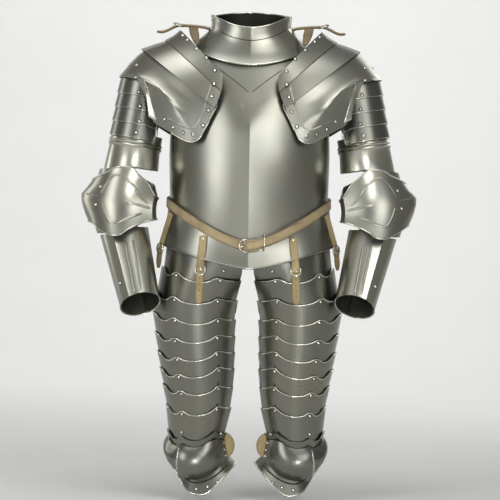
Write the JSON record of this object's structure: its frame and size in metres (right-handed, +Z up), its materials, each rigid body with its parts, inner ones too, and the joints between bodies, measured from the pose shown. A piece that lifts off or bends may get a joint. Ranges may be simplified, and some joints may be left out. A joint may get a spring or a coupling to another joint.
{
  "type": "half armour",
  "caption": "Half armour of articulated steel plates: gorget, cuirass with fauld, laminated pauldrons, turning arm cannons, winged couters and long scalloped tassets to the knee.",
  "frame": {"origin": "centre of the gorget's seat on the shoulders, where the wearer or a stand carries the armour", "axes": "+Z up along the body, the front faces -Y, +X is the wearer's left"},
  "size_m": [0.7402, 0.2857, 1.0597],
  "materials": {
    "steel": "satin polished with a warm tint, brighter on the rolled and scalloped edges",
    "leather": "light tan strap leather, darker at the edges"
  },
  "bodies": {
    "torso": {"breastplate": "steel", "backplate": "steel", "fauld": "steel", "gorget_front": "steel", "gorget_back": "steel", "waist_belt": "leather", "right_outer_tasset_strap": "leather", "left_outer_tasset_strap": "leather"},
    "right_shoulder": {"right_neck_plate": "steel", "right_shoulder_plate": "steel", "right_main_pauldron": "steel", "right_shoulder_strap": "leather"},
    "right_arm_lame_1": {"right_shoulder_lame_1": "steel"},
    "right_arm_lame_2": {"right_shoulder_lame_2": "steel"},
    "right_arm_lame_3": {"right_shoulder_lame_3": "steel"},
    "right_arm_lame_4": {"right_shoulder_lame_4": "steel"},
    "right_arm_turner": {"right_upper_cannon": "steel"},
    "right_elbow_upper": {"right_elbow_upper_lame": "steel"},
    "right_elbow_cop": {"right_couter": "steel"},
    "right_elbow_lower": {"right_elbow_lower_lame": "steel"},
    "right_forearm": {"right_vambrace_inner": "steel"},
    "right_forearm_door": {"right_vambrace_outer": "steel"},
    "right_tasset": {"right_tasset_top": "steel", "right_inner_tasset_strap": "leather"},
    "right_thigh_lame_1": {"right_tasset_lame_1": "steel"},
    "right_thigh_lame_2": {"right_tasset_lame_2": "steel"},
    "right_thigh_lame_3": {"right_tasset_lame_3": "steel"},
    "right_thigh_lame_4": {"right_tasset_lame_4": "steel"},
    "right_thigh_lame_5": {"right_tasset_lame_5": "steel"},
    "right_thigh_lame_6": {"right_tasset_lame_6": "steel"},
    "right_thigh_lame_7": {"right_tasset_lame_7": "steel"},
    "right_thigh_lame_8": {"right_tasset_lame_8": "steel"},
    "right_knee_link": {"right_knee_lame": "steel"},
    "right_knee": {"right_poleyn": "steel"},
    "left_shoulder": {"left_neck_plate": "steel", "left_shoulder_plate": "steel", "left_main_pauldron": "steel", "left_shoulder_strap": "leather"},
    "left_arm_lame_1": {"left_shoulder_lame_1": "steel"},
    "left_arm_lame_2": {"left_shoulder_lame_2": "steel"},
    "left_arm_lame_3": {"left_shoulder_lame_3": "steel"},
    "left_arm_lame_4": {"left_shoulder_lame_4": "steel"},
    "left_arm_turner": {"left_upper_cannon": "steel"},
    "left_elbow_upper": {"left_elbow_upper_lame": "steel"},
    "left_elbow_cop": {"left_couter": "steel"},
    "left_elbow_lower": {"left_elbow_lower_lame": "steel"},
    "left_forearm": {"left_vambrace_inner": "steel"},
    "left_forearm_door": {"left_vambrace_outer": "steel"},
    "left_tasset": {"left_tasset_top": "steel", "left_inner_tasset_strap": "leather"},
    "left_thigh_lame_1": {"left_tasset_lame_1": "steel"},
    "left_thigh_lame_2": {"left_tasset_lame_2": "steel"},
    "left_thigh_lame_3": {"left_tasset_lame_3": "steel"},
    "left_thigh_lame_4": {"left_tasset_lame_4": "steel"},
    "left_thigh_lame_5": {"left_tasset_lame_5": "steel"},
    "left_thigh_lame_6": {"left_tasset_lame_6": "steel"},
    "left_thigh_lame_7": {"left_tasset_lame_7": "steel"},
    "left_thigh_lame_8": {"left_tasset_lame_8": "steel"},
    "left_knee_link": {"left_knee_lame": "steel"},
    "left_knee": {"left_poleyn": "steel"}
  },
  "joints": [
    {"name": "right_arm_raise", "type": "hinge", "parent": "torso", "child": "right_shoulder", "pos_m": [-0.096, 0, 0.038], "axis": [0, 1, 0], "range_deg": [0, 20]},
    {"name": "right_arm_lame_1_slide", "type": "hinge", "parent": "right_shoulder", "child": "right_arm_lame_1", "pos_m": [-0.242, 0, -0.069], "axis": [0, 1, 0], "range_deg": [0, 2]},
    {"name": "right_arm_lame_2_slide", "type": "hinge", "parent": "right_shoulder", "child": "right_arm_lame_2", "pos_m": [-0.242, 0, -0.084], "axis": [0, 1, 0], "range_deg": [0, 4]},
    {"name": "right_arm_lame_3_slide", "type": "hinge", "parent": "right_shoulder", "child": "right_arm_lame_3", "pos_m": [-0.242, 0, -0.09933], "axis": [0, 1, 0], "range_deg": [0, 6]},
    {"name": "right_arm_lame_4_slide", "type": "hinge", "parent": "right_shoulder", "child": "right_arm_lame_4", "pos_m": [-0.242, 0, -0.11525], "axis": [0, 1, 0], "range_deg": [0, 8]},
    {"name": "right_arm_turn", "type": "hinge", "parent": "right_arm_lame_4", "child": "right_arm_turner", "pos_m": [-0.226, 0, -0.06], "axis": [-0.1666, 0, -0.986], "range_deg": [0, 40]},
    {"name": "right_elbow_bend", "type": "hinge", "parent": "right_arm_turner", "child": "right_elbow_upper", "pos_m": [-0.308, 0.009, -0.275], "axis": [0.2079, 0.9781, 0], "range_deg": [0, 4.5]},
    {"name": "right_elbow_cop_joint", "type": "hinge", "parent": "right_elbow_upper", "child": "right_elbow_cop", "pos_m": [-0.318, 0.0097, -0.304], "axis": [0.2079, 0.9781, 0], "range_deg": [0, 4.5]},
    {"name": "right_elbow_lower_joint", "type": "hinge", "parent": "right_elbow_cop", "child": "right_elbow_lower", "pos_m": [-0.3238, -0.0019, -0.37], "axis": [0.2079, 0.9781, 0], "range_deg": [0, 4.5]},
    {"name": "right_elbow_forearm_joint", "type": "hinge", "parent": "right_elbow_lower", "child": "right_forearm", "pos_m": [-0.265, -0.0267, -0.4], "axis": [0.2079, 0.9781, 0], "range_deg": [0, 4.5]},
    {"name": "right_vambrace_door", "type": "hinge", "parent": "right_forearm", "child": "right_forearm_door", "pos_m": [-0.2641, 0.03345, -0.393], "axis": [0.2165, -0.4804, -0.8499], "range_deg": [0, 50]},
    {"name": "right_tasset_swing", "type": "hinge", "parent": "torso", "child": "right_tasset", "pos_m": [-0.1, -0.08, -0.455], "axis": [-1, 0, 0], "range_deg": [0, 7]},
    {"name": "right_thigh_lame_1_slide", "type": "hinge", "parent": "right_tasset", "child": "right_thigh_lame_1", "pos_m": [-0.112, -0.036, -0.463], "axis": [-1, 0, 0], "range_deg": [0, 1.5]},
    {"name": "right_thigh_lame_2_slide", "type": "hinge", "parent": "right_thigh_lame_1", "child": "right_thigh_lame_2", "pos_m": [-0.112, -0.036, -0.522], "axis": [-1, 0, 0], "range_deg": [0, 1.5]},
    {"name": "right_thigh_lame_3_slide", "type": "hinge", "parent": "right_thigh_lame_2", "child": "right_thigh_lame_3", "pos_m": [-0.112, -0.012, -0.596], "axis": [-1, 0, 0], "range_deg": [0, 1.5]},
    {"name": "right_thigh_lame_4_slide", "type": "hinge", "parent": "right_thigh_lame_3", "child": "right_thigh_lame_4", "pos_m": [-0.112, -0.012, -0.641], "axis": [-1, 0, 0], "range_deg": [0, 1.5]},
    {"name": "right_thigh_lame_5_slide", "type": "hinge", "parent": "right_thigh_lame_4", "child": "right_thigh_lame_5", "pos_m": [-0.112, -0.012, -0.682], "axis": [-1, 0, 0], "range_deg": [0, 1.5]},
    {"name": "right_thigh_lame_6_slide", "type": "hinge", "parent": "right_thigh_lame_5", "child": "right_thigh_lame_6", "pos_m": [-0.112, -0.012, -0.717], "axis": [-1, 0, 0], "range_deg": [0, 1.5]},
    {"name": "right_thigh_lame_7_slide", "type": "hinge", "parent": "right_thigh_lame_6", "child": "right_thigh_lame_7", "pos_m": [-0.112, -0.012, -0.753], "axis": [-1, 0, 0], "range_deg": [0, 1.5]},
    {"name": "right_thigh_lame_8_slide", "type": "hinge", "parent": "right_thigh_lame_7", "child": "right_thigh_lame_8", "pos_m": [-0.112, -0.012, -0.797], "axis": [-1, 0, 0], "range_deg": [0, 1.5]},
    {"name": "right_knee_bend", "type": "hinge", "parent": "right_thigh_lame_8", "child": "right_knee_link", "pos_m": [-0.105, 0.004, -0.85], "axis": [1, 0, 0], "range_deg": [0, 15]},
    {"name": "right_knee_cop_joint", "type": "hinge", "parent": "right_knee_link", "child": "right_knee", "pos_m": [-0.105, 0.004, -0.87], "axis": [1, 0, 0], "range_deg": [0, 30]},
    {"name": "left_arm_raise", "type": "hinge", "parent": "torso", "child": "left_shoulder", "pos_m": [0.096, 0, 0.038], "axis": [0, -1, 0], "range_deg": [0, 20]},
    {"name": "left_arm_lame_1_slide", "type": "hinge", "parent": "left_shoulder", "child": "left_arm_lame_1", "pos_m": [0.242, 0, -0.069], "axis": [0, -1, 0], "range_deg": [0, 2]},
    {"name": "left_arm_lame_2_slide", "type": "hinge", "parent": "left_shoulder", "child": "left_arm_lame_2", "pos_m": [0.242, 0, -0.084], "axis": [0, -1, 0], "range_deg": [0, 4]},
    {"name": "left_arm_lame_3_slide", "type": "hinge", "parent": "left_shoulder", "child": "left_arm_lame_3", "pos_m": [0.242, 0, -0.09933], "axis": [0, -1, 0], "range_deg": [0, 6]},
    {"name": "left_arm_lame_4_slide", "type": "hinge", "parent": "left_shoulder", "child": "left_arm_lame_4", "pos_m": [0.242, 0, -0.11525], "axis": [0, -1, 0], "range_deg": [0, 8]},
    {"name": "left_arm_turn", "type": "hinge", "parent": "left_arm_lame_4", "child": "left_arm_turner", "pos_m": [0.226, 0, -0.06], "axis": [-0.1666, 0, 0.986], "range_deg": [0, 40]},
    {"name": "left_elbow_bend", "type": "hinge", "parent": "left_arm_turner", "child": "left_elbow_upper", "pos_m": [0.308, 0.009, -0.275], "axis": [0.2079, -0.9781, 0], "range_deg": [0, 4.5]},
    {"name": "left_elbow_cop_joint", "type": "hinge", "parent": "left_elbow_upper", "child": "left_elbow_cop", "pos_m": [0.318, 0.0097, -0.304], "axis": [0.2079, -0.9781, 0], "range_deg": [0, 4.5]},
    {"name": "left_elbow_lower_joint", "type": "hinge", "parent": "left_elbow_cop", "child": "left_elbow_lower", "pos_m": [0.3238, -0.0019, -0.37], "axis": [0.2079, -0.9781, 0], "range_deg": [0, 4.5]},
    {"name": "left_elbow_forearm_joint", "type": "hinge", "parent": "left_elbow_lower", "child": "left_forearm", "pos_m": [0.265, -0.0267, -0.4], "axis": [0.2079, -0.9781, 0], "range_deg": [0, 4.5]},
    {"name": "left_vambrace_door", "type": "hinge", "parent": "left_forearm", "child": "left_forearm_door", "pos_m": [0.2641, 0.03345, -0.393], "axis": [0.2165, 0.4804, 0.8499], "range_deg": [0, 50]},
    {"name": "left_tasset_swing", "type": "hinge", "parent": "torso", "child": "left_tasset", "pos_m": [0.1, -0.08, -0.455], "axis": [-1, 0, 0], "range_deg": [0, 7]},
    {"name": "left_thigh_lame_1_slide", "type": "hinge", "parent": "left_tasset", "child": "left_thigh_lame_1", "pos_m": [0.112, -0.036, -0.463], "axis": [-1, 0, 0], "range_deg": [0, 1.5]},
    {"name": "left_thigh_lame_2_slide", "type": "hinge", "parent": "left_thigh_lame_1", "child": "left_thigh_lame_2", "pos_m": [0.112, -0.036, -0.522], "axis": [-1, 0, 0], "range_deg": [0, 1.5]},
    {"name": "left_thigh_lame_3_slide", "type": "hinge", "parent": "left_thigh_lame_2", "child": "left_thigh_lame_3", "pos_m": [0.112, -0.012, -0.596], "axis": [-1, 0, 0], "range_deg": [0, 1.5]},
    {"name": "left_thigh_lame_4_slide", "type": "hinge", "parent": "left_thigh_lame_3", "child": "left_thigh_lame_4", "pos_m": [0.112, -0.012, -0.641], "axis": [-1, 0, 0], "range_deg": [0, 1.5]},
    {"name": "left_thigh_lame_5_slide", "type": "hinge", "parent": "left_thigh_lame_4", "child": "left_thigh_lame_5", "pos_m": [0.112, -0.012, -0.682], "axis": [-1, 0, 0], "range_deg": [0, 1.5]},
    {"name": "left_thigh_lame_6_slide", "type": "hinge", "parent": "left_thigh_lame_5", "child": "left_thigh_lame_6", "pos_m": [0.112, -0.012, -0.717], "axis": [-1, 0, 0], "range_deg": [0, 1.5]},
    {"name": "left_thigh_lame_7_slide", "type": "hinge", "parent": "left_thigh_lame_6", "child": "left_thigh_lame_7", "pos_m": [0.112, -0.012, -0.753], "axis": [-1, 0, 0], "range_deg": [0, 1.5]},
    {"name": "left_thigh_lame_8_slide", "type": "hinge", "parent": "left_thigh_lame_7", "child": "left_thigh_lame_8", "pos_m": [0.112, -0.012, -0.797], "axis": [-1, 0, 0], "range_deg": [0, 1.5]},
    {"name": "left_knee_bend", "type": "hinge", "parent": "left_thigh_lame_8", "child": "left_knee_link", "pos_m": [0.105, 0.004, -0.85], "axis": [1, 0, 0], "range_deg": [0, 15]},
    {"name": "left_knee_cop_joint", "type": "hinge", "parent": "left_knee_link", "child": "left_knee", "pos_m": [0.105, 0.004, -0.87], "axis": [1, 0, 0], "range_deg": [0, 30]}
  ],
  "couplings": [
    {"joint": "right_arm_lame_1_slide", "follows": "right_arm_raise", "ratio": 0.1},
    {"joint": "right_arm_lame_2_slide", "follows": "right_arm_raise", "ratio": 0.2},
    {"joint": "right_arm_lame_3_slide", "follows": "right_arm_raise", "ratio": 0.3},
    {"joint": "right_arm_lame_4_slide", "follows": "right_arm_raise", "ratio": 0.4},
    {"joint": "right_elbow_cop_joint", "follows": "right_elbow_bend", "ratio": 1},
    {"joint": "right_elbow_lower_joint", "follows": "right_elbow_bend", "ratio": 1},
    {"joint": "right_elbow_forearm_joint", "follows": "right_elbow_bend", "ratio": 1},
    {"joint": "right_thigh_lame_1_slide", "follows": "right_tasset_swing", "ratio": 0.21429},
    {"joint": "right_thigh_lame_2_slide", "follows": "right_tasset_swing", "ratio": 0.21429},
    {"joint": "right_thigh_lame_3_slide", "follows": "right_tasset_swing", "ratio": 0.21429},
    {"joint": "right_thigh_lame_4_slide", "follows": "right_tasset_swing", "ratio": 0.21429},
    {"joint": "right_thigh_lame_5_slide", "follows": "right_tasset_swing", "ratio": 0.21429},
    {"joint": "right_thigh_lame_6_slide", "follows": "right_tasset_swing", "ratio": 0.21429},
    {"joint": "right_thigh_lame_7_slide", "follows": "right_tasset_swing", "ratio": 0.21429},
    {"joint": "right_thigh_lame_8_slide", "follows": "right_tasset_swing", "ratio": 0.21429},
    {"joint": "right_knee_cop_joint", "follows": "right_knee_bend", "ratio": 2},
    {"joint": "left_arm_lame_1_slide", "follows": "left_arm_raise", "ratio": 0.1},
    {"joint": "left_arm_lame_2_slide", "follows": "left_arm_raise", "ratio": 0.2},
    {"joint": "left_arm_lame_3_slide", "follows": "left_arm_raise", "ratio": 0.3},
    {"joint": "left_arm_lame_4_slide", "follows": "left_arm_raise", "ratio": 0.4},
    {"joint": "left_elbow_cop_joint", "follows": "left_elbow_bend", "ratio": 1},
    {"joint": "left_elbow_lower_joint", "follows": "left_elbow_bend", "ratio": 1},
    {"joint": "left_elbow_forearm_joint", "follows": "left_elbow_bend", "ratio": 1},
    {"joint": "left_thigh_lame_1_slide", "follows": "left_tasset_swing", "ratio": 0.21429},
    {"joint": "left_thigh_lame_2_slide", "follows": "left_tasset_swing", "ratio": 0.21429},
    {"joint": "left_thigh_lame_3_slide", "follows": "left_tasset_swing", "ratio": 0.21429},
    {"joint": "left_thigh_lame_4_slide", "follows": "left_tasset_swing", "ratio": 0.21429},
    {"joint": "left_thigh_lame_5_slide", "follows": "left_tasset_swing", "ratio": 0.21429},
    {"joint": "left_thigh_lame_6_slide", "follows": "left_tasset_swing", "ratio": 0.21429},
    {"joint": "left_thigh_lame_7_slide", "follows": "left_tasset_swing", "ratio": 0.21429},
    {"joint": "left_thigh_lame_8_slide", "follows": "left_tasset_swing", "ratio": 0.21429},
    {"joint": "left_knee_cop_joint", "follows": "left_knee_bend", "ratio": 2}
  ]
}
